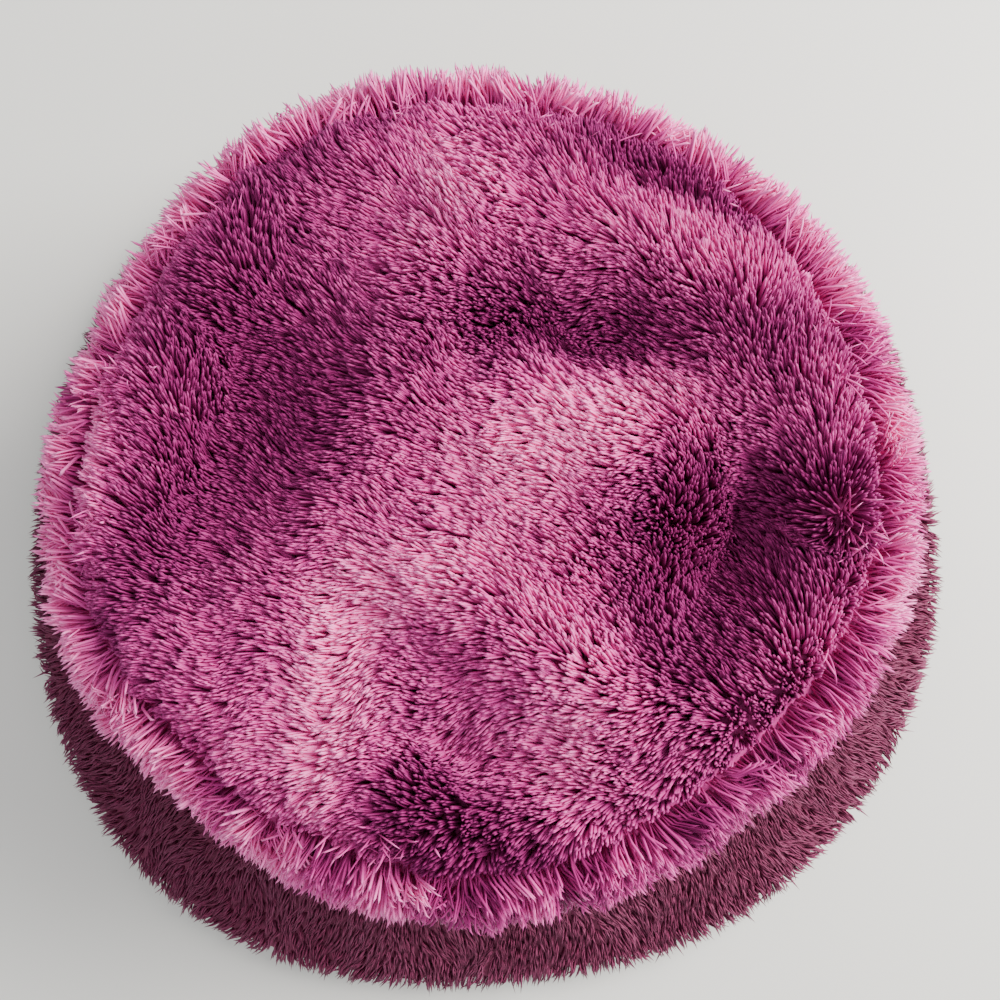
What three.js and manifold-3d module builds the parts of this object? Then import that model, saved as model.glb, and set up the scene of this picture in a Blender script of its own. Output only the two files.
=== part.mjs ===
// A lined bucket hat of long-pile plush, standing on the edge of its brim.
// Millimetres, +Z up. The origin is on the surface under the middle of the hat, and the front is -Y.
import * as THREE from 'three';
import { mergeVertices } from 'three/addons/utils/BufferGeometryUtils.js';
import Module from 'manifold-3d';

const wasm = await Module();
wasm.setup();

// ---- driving dimensions ----
const HEAD_RADIUS = 91;           // inside of the sweatband: a head of about 57 cm round
const TIP_SEAM_RADIUS = 87;       // where the tip panel meets the side panels
const TIP_SEAM_HEIGHT = 96;
const TIP_HEIGHT = 100.5;         // the tip's backing cloth before it sags
const BRIM_SEAM_RADIUS = 95.6;    // where the side panels meet the brim
const BRIM_SEAM_HEIGHT = 32.5;
const BRIM_RADIUS = 148;          // outside of the brim's pile
const BRIM_EDGE_HEIGHT = 7.2;     // the line between the brim's two faces, at its edge
const REST_DEPTH = 9.5;           // pile and cloth of the brim's under face
const BACKING = 1.5;              // knitted backing of the plush
const CROWN_PILE = 9.5;           // backing to pile tips on the side band
const TIP_PILE = 6;               // the pile lies flatter on the tip
const BRIM_PILE = 8;
const BRIM_THIN = 1.5;            // the brim's cloth under the side band's pile
const CORE = 1.0;                 // brim interlining
const CORE_ROOM = 0.8;            // half of the space between the brim's two faces
const LINING = 0.8;
const LINING_CLEAR = 0.8;
const TIP_LINING_CLEAR = 2.2;     // the tip's lining hangs a little away from the plush
const RIBBON = { thick: 1.0, low: 27, high: 50 };
const THREAD = 0.7;
const LINING_THREAD = 0.5;
const THREAD_SIDES = 5;
const SEAM = 1.6;                 // between two plush panels, with the seam's thread in it
const LINING_SEAM = 1.2;
const AROUND = 48;                // facets round the hat
const LABEL = { width: 22, height: 32, thick: 0.6, low: 51, corner: 2, turn: 6 };
const TAB = { width: 12, height: 14, thick: 0.9, low: 51, corner: 1.5, turn: -12 };

// The tip sags evenly, and into soft folds. x and y are a fold's middle, long and wide its reach
// along and across, turn its direction in degrees, and depth how far it goes down.
// A ridge has a negative depth.
const SAG = 4;
const SAG_RADIUS = 83;
const FOLDS = [
  { name: 'right hollow', x: 62, y: -18, long: 29, wide: 20, turn: 48, depth: 19 },
  { name: 'back valley', x: 22, y: 30, long: 30, wide: 12, turn: -12, depth: 10 },
  { name: 'left hollow', x: -58, y: 6, long: 38, wide: 24, turn: 72, depth: 9 },
  { name: 'front dip', x: 2, y: -68, long: 17, wide: 12, turn: -10, depth: 8 },
  { name: 'back fold', x: 54, y: 62, long: 28, wide: 7, turn: -26, depth: 6 },
  { name: 'back ridge', x: 52, y: 49, long: 34, wide: 7, turn: -16, depth: -5 },
  { name: 'front ridge', x: 14, y: -42, long: 38, wide: 10, turn: -32, depth: -6 },
  { name: 'middle ridge', x: -12, y: 40, long: 40, wide: 12, turn: 66, depth: -4 },
];

// The outline of the crown is a little out of round: each lobe is a share of the radius.
const LOBES = [
  { waves: 2, share: 0.014, turn: 13 },
  { waves: 3, share: 0.010, turn: -21 },
  { waves: 4, share: 0.010, turn: 7 },
  { waves: 5, share: 0.011, turn: -20 },
];

const COLOUR = {
  plush: 0x9c4a82,
  brim: 0x7c3a62,
  satin: 0x4a2340,
  ribbon: 0x2e1828,
  core: 0xd8d4cc,
  thread: 0x5e2450,
  label: 0xf0ece6,
};

// ---- materials ----
const cloth = (color, roughness) => new THREE.MeshStandardMaterial({ color, roughness, metalness: 0 });
const plush = cloth(COLOUR.plush, 0.95);
const brimPlush = cloth(COLOUR.brim, 0.95);
const satin = cloth(COLOUR.satin, 0.45);
const ribbonCloth = cloth(COLOUR.ribbon, 0.8);
const coreFelt = cloth(COLOUR.core, 0.95);
const threadYarn = cloth(COLOUR.thread, 0.6);
const labelTape = cloth(COLOUR.label, 0.5);

// ---- shape of the worn, slumped crown ----
const radians = THREE.MathUtils.degToRad;

function foldDepth(fold, x, y) {
  const turn = radians(fold.turn);
  const along = ((x - fold.x) * Math.cos(turn) + (y - fold.y) * Math.sin(turn)) / fold.long;
  const across = ((y - fold.y) * Math.cos(turn) - (x - fold.x) * Math.sin(turn)) / fold.wide;
  return fold.depth * Math.exp(-along * along - across * across);
}

function sagAt(x, y) {
  const inside = THREE.MathUtils.clamp(1 - Math.hypot(x, y) / SAG_RADIUS, 0, 1);
  const eased = THREE.MathUtils.smoothstep(inside, 0, 0.3);
  const folds = FOLDS.reduce((sum, fold) => sum + foldDepth(fold, x, y), 0);
  return eased * (SAG * inside + folds);
}

function outOfRound(x, y, z) {
  const angle = Math.atan2(y, x);
  const lobes = LOBES.reduce((sum, l) => sum + l.share * Math.cos(l.waves * (angle - radians(l.turn))), 0);
  return 1 + lobes * THREE.MathUtils.smoothstep(z, BRIM_SEAM_HEIGHT, TIP_SEAM_HEIGHT);
}

function slump(geometry, sagging) {
  const place = geometry.attributes.position;
  for (let i = 0; i < place.count; i++) {
    const [x, y, z] = [place.getX(i), place.getY(i), place.getZ(i)];
    const scale = outOfRound(x, y, z);
    place.setXYZ(i, x * scale, y * scale, sagging ? z - sagAt(x, y) : z);
  }
  return geometry;
}

// ---- meridians: lines of the cloth from the brim's edge up to the middle of the tip ----
const at = (r, z) => new THREE.Vector2(r, z);
const brimLine = new THREE.CubicBezierCurve(
  at(BRIM_RADIUS, BRIM_EDGE_HEIGHT), at(BRIM_RADIUS - 12, BRIM_EDGE_HEIGHT + 0.4),
  at(118, 17), at(BRIM_SEAM_RADIUS + 0.8, BRIM_SEAM_HEIGHT - 1.3));
const sideLine = new THREE.CubicBezierCurve(
  at(BRIM_SEAM_RADIUS, BRIM_SEAM_HEIGHT + 1.3), at(98.5, 53),
  at(103.5, 85), at(TIP_SEAM_RADIUS + 0.6, TIP_SEAM_HEIGHT - 0.6));
const tipLine = new THREE.CubicBezierCurve(
  at(TIP_SEAM_RADIUS - 0.6, TIP_SEAM_HEIGHT + 0.8), at(TIP_SEAM_RADIUS - 8, 101.9),
  at(60, TIP_HEIGHT), at(0, TIP_HEIGHT));

const SIDE_STEPS = spaced(0, 1, 6);
const TIP_STEPS = spaced(0, 1, 9);
const BRIM_STEPS = [0, 0.05, 0.11, 0.18, 0.26, 0.4, 0.58, 0.72, 0.8, 0.9, 1];

function spaced(from, to, count) {
  return Array.from({ length: count + 1 }, (_, i) => from + (to - from) * i / count);
}

// Points of a line moved by depth(t) towards its right-hand side, which is the outside of the hat.
function offset(line, steps, depth) {
  return steps.map((t) => {
    const point = line.getPoint(t);
    const along = line.getTangent(t);
    return at(point.x + along.y * depth(t), point.y - along.x * depth(t));
  });
}

// Straight-line reading of [t, depth] pairs.
function eased(pairs) {
  return (t) => {
    const i = Math.max(1, pairs.findIndex(([end]) => end >= t));
    const [[t0, d0], [t1, d1]] = [pairs[i - 1], pairs[i]];
    return d0 + (d1 - d0) * (t - t0) / (t1 - t0);
  };
}

const same = (value) => () => value;

// ---- solids ----
function signedVolume(geometry) {
  const place = geometry.attributes.position;
  const index = geometry.index.array;
  const [a, b, c] = [new THREE.Vector3(), new THREE.Vector3(), new THREE.Vector3()];
  let sum = 0;
  for (let i = 0; i < index.length; i += 3) {
    a.fromBufferAttribute(place, index[i]);
    b.fromBufferAttribute(place, index[i + 1]);
    c.fromBufferAttribute(place, index[i + 2]);
    sum += a.dot(b.cross(c));
  }
  return sum / 6;
}

// Merges a geometry's shared vertices, drops its empty triangles and turns its faces outwards.
function closed(source) {
  source.deleteAttribute('normal');
  source.deleteAttribute('uv');
  const geometry = mergeVertices(source, 1e-4);
  const kept = [];
  const index = geometry.index.array;
  for (let i = 0; i < index.length; i += 3) {
    const [a, b, c] = [index[i], index[i + 1], index[i + 2]];
    if (a !== b && b !== c && c !== a) kept.push(a, b, c);
  }
  geometry.setIndex(kept);
  if (signedVolume(geometry) < 0) geometry.setIndex(kept.reverse());
  return geometry;
}

function turned(profile, around = AROUND) {
  return closed(new THREE.LatheGeometry(profile, around).rotateX(Math.PI / 2));
}

const ring = (outer, inner) => turned([...outer, ...inner.reverse(), outer[0]]);

// A ring of cloth along a line, between two depths.
const clothRing = (line, steps, outer, inner) =>
  ring(offset(line, steps, same(outer)), offset(line, steps, same(inner)));

function disc(outer, inner) {
  return turned([...inner.reverse(), ...outer]);
}

function solidOf(geometry) {
  const vertProperties = new Float32Array(geometry.attributes.position.array);
  const triVerts = new Uint32Array(geometry.index.array);
  return new wasm.Manifold(new wasm.Mesh({ numProp: 3, vertProperties, triVerts }));
}

// The half of a ring on the front (side -1) or back (side 1), short of the middle by half of the seam.
function half(geometry, side, seam) {
  const reach = 2 * BRIM_RADIUS;
  const box = closed(new THREE.BoxGeometry(2 * reach, reach, 2 * reach));
  box.translate(0, side * (reach / 2 + seam / 2), 0);
  const mesh = solidOf(geometry).intersect(solidOf(box)).getMesh();
  const cut = new THREE.BufferGeometry();
  cut.setAttribute('position', new THREE.BufferAttribute(new Float32Array(mesh.vertProperties), 3));
  cut.setIndex(new THREE.BufferAttribute(new Uint32Array(mesh.triVerts), 1));
  return cut;
}

// A sewing thread along a list of points.
function thread(points, width, steps) {
  const round = new THREE.EllipseCurve(0, 0, width / 2, width / 2);
  const section = new THREE.Shape(round.getPoints(THREAD_SIDES).slice(0, THREAD_SIDES));
  const extrudePath = new THREE.CatmullRomCurve3(points);
  return closed(new THREE.ExtrudeGeometry(section, { steps, extrudePath, curveSegments: 1 }));
}

// A row of stitches round the hat, which starts and ends at the back.
function threadRing(radius, height, width) {
  const points = spaced(92, 448, 48).map((degrees) => {
    const angle = radians(degrees);
    return new THREE.Vector3(radius * Math.cos(angle), radius * Math.sin(angle), height);
  });
  return thread(points, width, 48);
}

// A seam's thread up one side of the hat: side 1 is +X.
function threadUp(line, depth, from, to, side, width) {
  const points = offset(line, spaced(from, to, 6), same(depth));
  return thread(points.map((p) => new THREE.Vector3(side * p.x, 0, p.y)), width, 10);
}

function tape({ width, height, thick, low, corner, turn }) {
  const [w, h, c] = [width / 2, height, corner];
  const shape = new THREE.Shape();
  shape.moveTo(-w, 0);
  shape.lineTo(w, 0);
  shape.lineTo(w, h - c);
  shape.absarc(w - c, h - c, c, 0, Math.PI / 2);
  shape.absarc(-w + c, h - c, c, Math.PI / 2, Math.PI);
  const settings = { depth: thick, bevelEnabled: false, curveSegments: 4 };
  const flat = closed(new THREE.ExtrudeGeometry(shape, settings));
  return flat.rotateX(Math.PI / 2).translate(0, HEAD_RADIUS - 1, low).rotateZ(radians(turn));
}

function node(name, geometry, material) {
  const mesh = new THREE.Mesh(geometry, material);
  mesh.name = name;
  return mesh;
}

// ---- crown ----
function crownGroup() {
  const group = new THREE.Group();
  const side = clothRing(sideLine, SIDE_STEPS, CROWN_PILE, -BACKING);
  const pile = eased([[0, CROWN_PILE], [0.25, TIP_PILE], [1, TIP_PILE]]);
  const tip = disc(offset(tipLine, TIP_STEPS, pile), offset(tipLine, TIP_STEPS, same(-BACKING)));
  onAxis(tip);
  group.add(node('crown_tip', slump(tip, true), plush));
  group.add(node('crown_side_front', slump(half(side, -1, SEAM), false), plush));
  group.add(node('crown_side_back', slump(half(side, 1, SEAM), false), plush));
  group.add(node('tip_seam_thread',
    slump(threadRing(TIP_SEAM_RADIUS, TIP_SEAM_HEIGHT + 0.1, THREAD), false), threadYarn));
  for (const [name, x] of [['left', -1], ['right', 1]]) {
    const seam = slump(threadUp(sideLine, 0.6, 0.06, 0.96, x, THREAD), false);
    group.add(node(`crown_seam_thread_${name}`, seam, threadYarn));
  }
  return group;
}

// The middle of a disc lies exactly on the axis.
function onAxis(geometry) {
  const place = geometry.attributes.position;
  for (let i = 0; i < place.count; i++) {
    if (Math.hypot(place.getX(i), place.getY(i)) < 1e-3) place.setXYZ(i, 0, 0, place.getZ(i));
  }
}

// ---- brim ----
function brimGroup() {
  const group = new THREE.Group();
  const room = eased([[0, 0.15], [0.05, 0.15], [0.11, CORE_ROOM], [1, CORE_ROOM]]);
  const above = eased([[0, 0.6], [0.05, 4], [0.11, 6.8], [0.18, BRIM_PILE], [0.72, BRIM_PILE],
    [0.8, BRIM_THIN], [1, BRIM_THIN]]);
  const below = eased([[0, 0.6], [0.05, 4.5], [0.11, 7.8], [0.18, REST_DEPTH], [0.8, REST_DEPTH], [1, 3]]);
  const upper = ring(offset(brimLine, BRIM_STEPS, above), offset(brimLine, BRIM_STEPS, room));
  const bottom = offset(brimLine, BRIM_STEPS, (t) => -below(t)).map((p) => at(p.x, Math.max(p.y, 0)));
  const under = ring(offset(brimLine, BRIM_STEPS, (t) => -room(t)), bottom);
  const coreSteps = BRIM_STEPS.filter((t) => t >= 0.26 && t <= 0.9);
  const core = clothRing(brimLine, coreSteps, CORE / 2, -CORE / 2);
  for (const [name, side] of [['front', -1], ['back', 1]]) {
    group.add(node(`brim_upper_${name}`, half(upper, side, SEAM), brimPlush));
    group.add(node(`brim_under_${name}`, half(under, side, SEAM), brimPlush));
    group.add(node(`brim_interlining_${name}`, half(core, side, SEAM), coreFelt));
  }
  for (const [name, x] of [['left', -1], ['right', 1]]) {
    const top = threadUp(brimLine, 1.6, 0.2, 0.94, x, THREAD);
    const low = threadUp(brimLine, -1.6, 0.2, 0.94, x, THREAD);
    group.add(node(`brim_upper_seam_thread_${name}`, top, threadYarn));
    group.add(node(`brim_under_seam_thread_${name}`, low, threadYarn));
  }
  const edge = brimLine.getPoint(0.17);
  group.add(node('brim_edge_thread', threadRing(edge.x, edge.y, THREAD), threadYarn));
  const join = threadRing(BRIM_SEAM_RADIUS - 0.2, BRIM_SEAM_HEIGHT - 0.3, THREAD);
  group.add(node('brim_join_thread', join, threadYarn));
  return group;
}

// ---- lining, sweatband and labels ----
function insideGroup() {
  const group = new THREE.Group();
  const face = BACKING + LINING_CLEAR;
  const sideSteps = [...SIDE_STEPS.slice(0, -1), 0.92];
  const side = clothRing(sideLine, sideSteps, -face, -face - LINING);
  const tipSteps = [0.04, ...TIP_STEPS.slice(1)];
  const hung = BACKING + TIP_LINING_CLEAR;
  const tip = disc(offset(tipLine, tipSteps, same(-hung)), offset(tipLine, tipSteps, same(-hung - LINING)));
  onAxis(tip);
  group.add(node('tip_lining', slump(tip, true), satin));
  group.add(node('side_lining_front', slump(half(side, -1, LINING_SEAM), false), satin));
  group.add(node('side_lining_back', slump(half(side, 1, LINING_SEAM), false), satin));
  for (const [name, x] of [['left', -1], ['right', 1]]) {
    const seam = slump(threadUp(sideLine, -face - LINING / 2, 0.06, 0.9, x, LINING_THREAD), false);
    group.add(node(`lining_seam_thread_${name}`, seam, threadYarn));
  }
  const { thick, low, high } = RIBBON;
  const band = ring([at(HEAD_RADIUS + thick, low), at(HEAD_RADIUS + thick, high)],
    [at(HEAD_RADIUS, low), at(HEAD_RADIUS, high)]);
  group.add(node('sweatband', band, ribbonCloth));
  group.add(node('sweatband_thread', threadRing(HEAD_RADIUS - 0.8, low + 3, LINING_THREAD), threadYarn));
  group.add(node('care_label', tape(LABEL), labelTape));
  group.add(node('size_tab', tape(TAB), labelTape));
  return group;
}

const hat = new THREE.Group();
hat.add(crownGroup(), brimGroup(), insideGroup());

export default hat;
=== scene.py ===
"""A lined bucket hat of long-pile plush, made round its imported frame. Metres, +Z up, front towards -Y."""

import math

import bpy
import numpy as np
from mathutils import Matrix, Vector, kdtree


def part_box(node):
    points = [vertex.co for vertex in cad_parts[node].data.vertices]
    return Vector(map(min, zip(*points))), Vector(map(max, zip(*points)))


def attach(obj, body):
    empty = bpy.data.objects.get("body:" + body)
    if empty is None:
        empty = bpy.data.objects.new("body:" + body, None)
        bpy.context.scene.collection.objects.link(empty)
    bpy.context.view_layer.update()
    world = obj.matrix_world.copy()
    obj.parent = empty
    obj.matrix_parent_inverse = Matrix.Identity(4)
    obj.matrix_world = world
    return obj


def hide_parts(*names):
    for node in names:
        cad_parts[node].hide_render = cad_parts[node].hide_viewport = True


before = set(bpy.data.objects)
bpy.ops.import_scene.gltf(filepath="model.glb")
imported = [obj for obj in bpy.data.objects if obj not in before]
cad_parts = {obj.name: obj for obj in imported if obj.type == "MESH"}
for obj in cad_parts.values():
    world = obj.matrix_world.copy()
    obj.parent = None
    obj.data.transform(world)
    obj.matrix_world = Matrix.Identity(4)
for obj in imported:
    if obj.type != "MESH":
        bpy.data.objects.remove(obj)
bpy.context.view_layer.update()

bl_info = {
    "name": "Plush bucket hat",
    "version": (1, 0, 0),
    "blender": (4, 5, 0),
    "location": "3D view > Sidebar > Hat",
    "description": "Builds the cloth, pile, lining and stitches of a plush bucket hat",
    "category": "Object",
}

MM = 0.001
BODY = "root"

# ---- places read from the frame ----
RIBBON_LOW, RIBBON_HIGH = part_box("sweatband")

# ---- points that a cloth faces or turns its back on ----
INSIDE_CROWN = Vector((0, 0, 0.05))
FAR_BELOW = Vector((0, 0, -1))

# ---- thickness of each cloth, in millimetres ----
BACKING, SATIN, FELT, RIBBON = 1.2, 0.3, 0.7, 0.5

# ---- meridians of the cloth, as the control points (radius, height) of cubic curves, in millimetres ----
BRIM_LINE = ((148.0, 7.2), (136.0, 7.6), (118.0, 17.0), (96.4, 31.2))
SIDE_LINE = ((95.6, 33.8), (98.5, 53.0), (103.5, 85.0), (87.6, 95.4))
TIP_LINE = ((86.4, 96.8), (79.0, 101.9), (60.0, 100.5), (0.0, 100.5))
BRIM_SEAM_HEIGHT, TIP_SEAM_HEIGHT = 32.5, 96.0
BRIM_EDGE = 0.2  # share of the brim line where its cloth is turned; the pile reaches past it
BRIM_GAP = 1.6  # from the brim line to each face's cloth

# ---- the slump of the worn crown, in millimetres and degrees: middle, reach both ways, turn, depth ----
SAG, SAG_RADIUS = 4.0, 83.0
FOLDS = (
    ("right hollow", 62, -18, 29, 20, 48, 19),
    ("back valley", 22, 30, 30, 12, -12, 10),
    ("left hollow", -58, 6, 38, 24, 72, 9),
    ("front dip", 2, -68, 17, 12, -10, 8),
    ("back fold", 54, 62, 28, 7, -26, 6),
    ("back ridge", 52, 49, 34, 7, -16, -5),
    ("front ridge", 14, -42, 38, 10, -32, -6),
    ("middle ridge", -12, 40, 40, 12, 66, -4),
)
# lobes of the crown: how many, share of the radius, turn in degrees
LOBES = ((2, 0.014, 13), (3, 0.010, -21), (4, 0.010, 7), (5, 0.011, -20))
# where the brim's edge stands out or in: direction and reach in degrees, share of the radius
BRIM_WAVES = ((-136, 28, 0.034), (-84, 26, -0.036), (8, 18, -0.022), (170, 34, -0.022))
WAVES_START, WAVES_FULL = 100, 140  # radius

# mean radius of the side and of the brim, which makes an angle a length round the hat
SIDE_RADIUS, BRIM_RADIUS = 95, 118

# ---- how the pile of the tip was last brushed: where, and the way its tips point, in degrees from +X ----
STROKES = (
    ("left back", -60, 62, 118),
    ("left", -62, 15, 140),
    ("left front", -62, -35, 170),
    ("middle back", -2, 62, 155),
    ("back right", 48, 66, 128),
    ("middle", -5, 5, 168),
    ("slope", 27, 13, 174),
    ("front left", -28, -50, 186),
    ("front", 5, -62, 190),
    ("front right", 42, -58, 182),
    ("front ridge", 26, -34, 150),
    ("hollow", 58, -18, 140),
    ("right", 76, 30, 108),
    ("right front", 78, -38, 130),
)

# how much of its lean a strand has at its root, and the angle of a strand that lies down
ROOT_LEAN, FULL_LEAN = 0.45, math.radians(97.2)

# ---- the stage, in metres ----
WINDOW_PLACE, WINDOW_SIZE = (0.8, 0.3, 0.6), 0.7
CAMERA_AIM, CAMERA_DISTANCE, CAMERA_LEAN = Vector((0.0046, -0.006, 0.09)), 0.2348, math.radians(8)

# the sweatband's ribbon: its width in millimetres, and its ribs, which are as far apart as they can show
RIBBON_WIDTH, RIBS = 23, 576

# the stitches, in millimetres: from each to the next, and half the length of one
STITCH_PITCH, HALF_STITCH = 3.2, 1.3

# frames in which the tip's lining comes to hang
HANGING_FRAMES = 26

# a tight stitch at the right end of the tip's seam parts the pile round itself: middle and reach
PARTING_X, PARTING_Y, PARTING_REACH = 82, -9, 8

# ---- patches of painted light (1) and painted shade (-1) on the tip's pile, pale on the lit slopes and ridges, dark in the hollows, valleys, parting and on the left; they also stand in for the nap showing the pale tips or the dark flanks: middle, reach, turn, how much ----
LIGHT_AND_SHADE_PATCHES = (
    ("left top", -46, 76, 26, 10, 20, -0.60),
    ("left", -57, 30, 46, 23, 80, -0.75),
    ("left middle", -34, 10, 22, 15, 80, -0.55),
    ("left low", -68, -16, 20, 16, 50, -0.60),
    ("left corner", -86, -36, 14, 10, 80, -0.60),
    ("left rim", -84, 2, 38, 7, 92, 1.00),
    ("left back rim", -70, 48, 22, 6, 58, 0.60),
    ("column", -29, -50, 30, 9, 86, 0.95),
    ("left front", -50, -60, 16, 7, -20, 0.30),
    ("middle front", -10, -26, 18, 9, 25, 0.75),
    ("front ridge", 22, -44, 32, 8, -34, 0.25),
    ("slope", 24, 6, 26, 13, 14, 1.15),
    ("slope right", 46, 18, 16, 8, 20, 0.40),
    ("slope foot", 17, -18, 14, 12, 60, 0.20),
    ("valley", 28, 31, 30, 10, -8, -1.00),
    ("valley left", 6, 32, 12, 12, 0, -0.30),
    ("hollow", 53, -20, 32, 17, -63, -1.05),
    ("hollow right", 74, -10, 14, 15, 0, -0.60),
    ("hollow foot", 46, -39, 14, 11, -40, -0.90),
    ("back ridge", 52, 48, 36, 7, -17, 0.30),
    ("back fold", 54, 62, 30, 7, -27, -0.80),
    ("back right", 43, 72, 20, 8, -20, -0.50),
    ("right", 70, 27, 16, 12, 0, -0.40),
    ("middle band", -6, 60, 22, 11, 75, 0.50),
    ("band foot", -12, 30, 18, 13, 80, -0.25),
    ("front dip", 3, -82, 22, 11, -20, -1.00),
    ("front dip left", -10, -74, 12, 9, 0, -0.40),
    ("front", 24, -62, 11, 15, 0, 0.55),
    ("right low", 70, -42, 16, 7, 20, 0.35),
    ("low right", 43, -64, 14, 8, 10, -0.30),
    ("pulled stitch", 83, -9, 6, 5, 0, -1.30),
)


def srgb(text):
    """An sRGB hex value as the linear colour that a shader takes."""
    values = [int(text[i : i + 2], 16) / 255 for i in (1, 3, 5)]
    return (*[c / 12.92 if c <= 0.04045 else ((c + 0.055) / 1.055) ** 2.4 for c in values], 1.0)


# ---------------- shape of the cloth
def on_line(line, t):
    """A cubic curve's point and its right-hand normal, which faces the outside of the hat."""
    (a, b, c, d), s = [np.array(p) for p in line], 1 - t
    point = s**3 * a + 3 * s * s * t * b + 3 * s * t * t * c + t**3 * d
    along = 3 * (s * s * (b - a) + 2 * s * t * (c - b) + t * t * (d - c))
    along /= np.linalg.norm(along)
    return point, np.array((along[1], -along[0]))


def meridian(line, start, end, steps, depth):
    """(radius, height) points in millimetres along a line, moved outwards by depth."""
    found = []
    for i in range(steps + 1):
        point, normal = on_line(line, start + (end - start) * i / steps)
        found.append(tuple(point + normal * depth))
    return found


def smooth(x, low, high):
    """0 below low and 1 above high, with a soft step between them."""
    t = np.clip((x - low) / (high - low), 0, 1)
    return t * t * (3 - 2 * t)


def patch(x, y, middle_x, middle_y, long, wide, turn):
    """1 in the middle of an oval patch, falling smoothly to 0."""
    c, s = math.cos(math.radians(turn)), math.sin(math.radians(turn))
    along = ((x - middle_x) * c + (y - middle_y) * s) / long
    across = ((y - middle_y) * c - (x - middle_x) * s) / wide
    return np.exp(-along * along - across * across)


def ripples(x, y, size, seed):
    """A smooth field between about -1 and 1 with swells of the given size, in millimetres."""
    rng = np.random.default_rng(seed)
    total = 0
    for angle, phase in zip(rng.uniform(0, 2 * math.pi, 9), rng.uniform(0, 2 * math.pi, 9)):
        reach = size * rng.uniform(0.7, 1.5)
        way = x * math.cos(angle) + y * math.sin(angle)
        total = total + np.sin(way * 2 * math.pi / reach + phase)
    return total / 3


def sag_at(x, y):
    """How far the tip hangs below its flat shape: a sag that its seam holds up, folds and small swells."""
    inside = np.clip(1 - np.hypot(x, y) / SAG_RADIUS, 0, 1)
    folds = sum(depth * patch(x, y, *place) for _, *place, depth in FOLDS)
    return smooth(inside, 0, 0.3) * (SAG * inside + folds + 0.5 * ripples(x, y, 30, 3))


def out_of_round(x, y, z):
    """The worn hat's radius as a share of the round one's: the crown's lobes and the brim edge's waves."""
    angle = np.arctan2(y, x)
    lobes = sum(share * np.cos(waves * (angle - math.radians(turn))) for waves, share, turn in LOBES)
    edge = 0
    for turn, reach, share in BRIM_WAVES:
        off = (np.degrees(angle) - turn + 180) % 360 - 180
        edge = edge + share * np.exp(-((off / reach) ** 2))
    rim = smooth(np.hypot(x, y), WAVES_START, WAVES_FULL) * (z < BRIM_SEAM_HEIGHT)
    return 1 + lobes * smooth(z, BRIM_SEAM_HEIGHT, TIP_SEAM_HEIGHT) + edge * rim


def slump(obj, sagging):
    """Gives a piece of the crown its worn shape."""
    mesh = obj.data
    place = np.empty(len(mesh.vertices) * 3)
    mesh.vertices.foreach_get("co", place)
    x, y, z = (place.reshape(-1, 3) / MM).T
    scale = out_of_round(x, y, z)
    drop = sag_at(x, y) if sagging else 0
    mesh.vertices.foreach_set("co", (np.stack((x * scale, y * scale, z - drop), 1) * MM).ravel())
    mesh.update()


# ---------------- modelling by hand
def select_only(obj):
    bpy.ops.object.select_all(action="DESELECT")
    obj.select_set(True)
    bpy.context.view_layer.objects.active = obj


def edit_all():
    bpy.ops.object.mode_set(mode="EDIT")
    bpy.ops.mesh.select_all(action="SELECT")


def turned_cloth(name, points, around=144):
    """A cloth of rings: a circle at the first (radius, height), extruded through the others."""
    bpy.ops.object.select_all(action="DESELECT")
    radius, height = points[0]
    bpy.ops.mesh.primitive_circle_add(vertices=around, radius=radius * MM, location=(0, 0, height * MM))
    obj = bpy.context.object
    obj.name = obj.data.name = name
    bpy.ops.object.transform_apply(location=True, rotation=True, scale=True)
    edit_all()
    for next_radius, next_height in points[1:]:
        step = {"value": (0, 0, (next_height - height) * MM)}
        bpy.ops.mesh.extrude_region_move(TRANSFORM_OT_translate=step)
        grow = max(next_radius, 1e-3) / radius
        bpy.ops.transform.resize(value=(grow, grow, 1), center_override=(0, 0, 0))
        radius, height = max(next_radius, 1e-3), next_height
    bpy.ops.mesh.select_all(action="SELECT")
    bpy.ops.mesh.remove_doubles(threshold=1e-5)
    bpy.ops.mesh.normals_make_consistent(inside=False)
    bpy.ops.object.mode_set(mode="OBJECT")
    return obj


def half_of(obj, name, side):
    """A copy of the front (side -1) or back (side 1) half of a turned cloth."""
    select_only(obj)
    bpy.ops.object.duplicate()
    half = bpy.context.object
    half.name = half.data.name = name
    edit_all()
    bpy.ops.mesh.bisect(plane_co=(0, 0, 0), plane_no=(0, side, 0), clear_inner=True)
    bpy.ops.object.mode_set(mode="OBJECT")
    return half


def halves(whole, name):
    """Cuts a turned cloth into its front and back halves, each in its worn shape and named by its place."""
    for place, side in (("front", -1), ("back", 1)):
        half = half_of(whole, name.format(place), side)
        slump(half, False)
        yield place, half
    bpy.data.objects.remove(whole)


def facing_out(obj, point, outwards=True):
    """Turns an open cloth's faces away from a point, or towards it."""
    mesh = obj.data
    facing = sum((face.center - point).dot(face.normal) * face.area for face in mesh.polygons)
    if (facing > 0) != outwards:
        mesh.flip_normals()
        mesh.update()


def thicken(obj, thickness):
    """Gives an open cloth its thickness on the side away from its normals."""
    select_only(obj)
    solid = obj.modifiers.new("Thickness", "SOLIDIFY")
    solid.thickness = thickness * MM
    solid.offset = -1
    bpy.ops.object.modifier_apply(modifier=solid.name)


def finished(obj, material, slot, *nodes):
    """Material, body and replaced nodes of a finished piece; the slot is not used."""
    obj.data.materials.clear()
    obj.data.materials.append(material)
    for polygon in obj.data.polygons:
        polygon.use_smooth = True
    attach(obj, BODY)
    if nodes:
        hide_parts(*nodes)
    return obj


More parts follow.
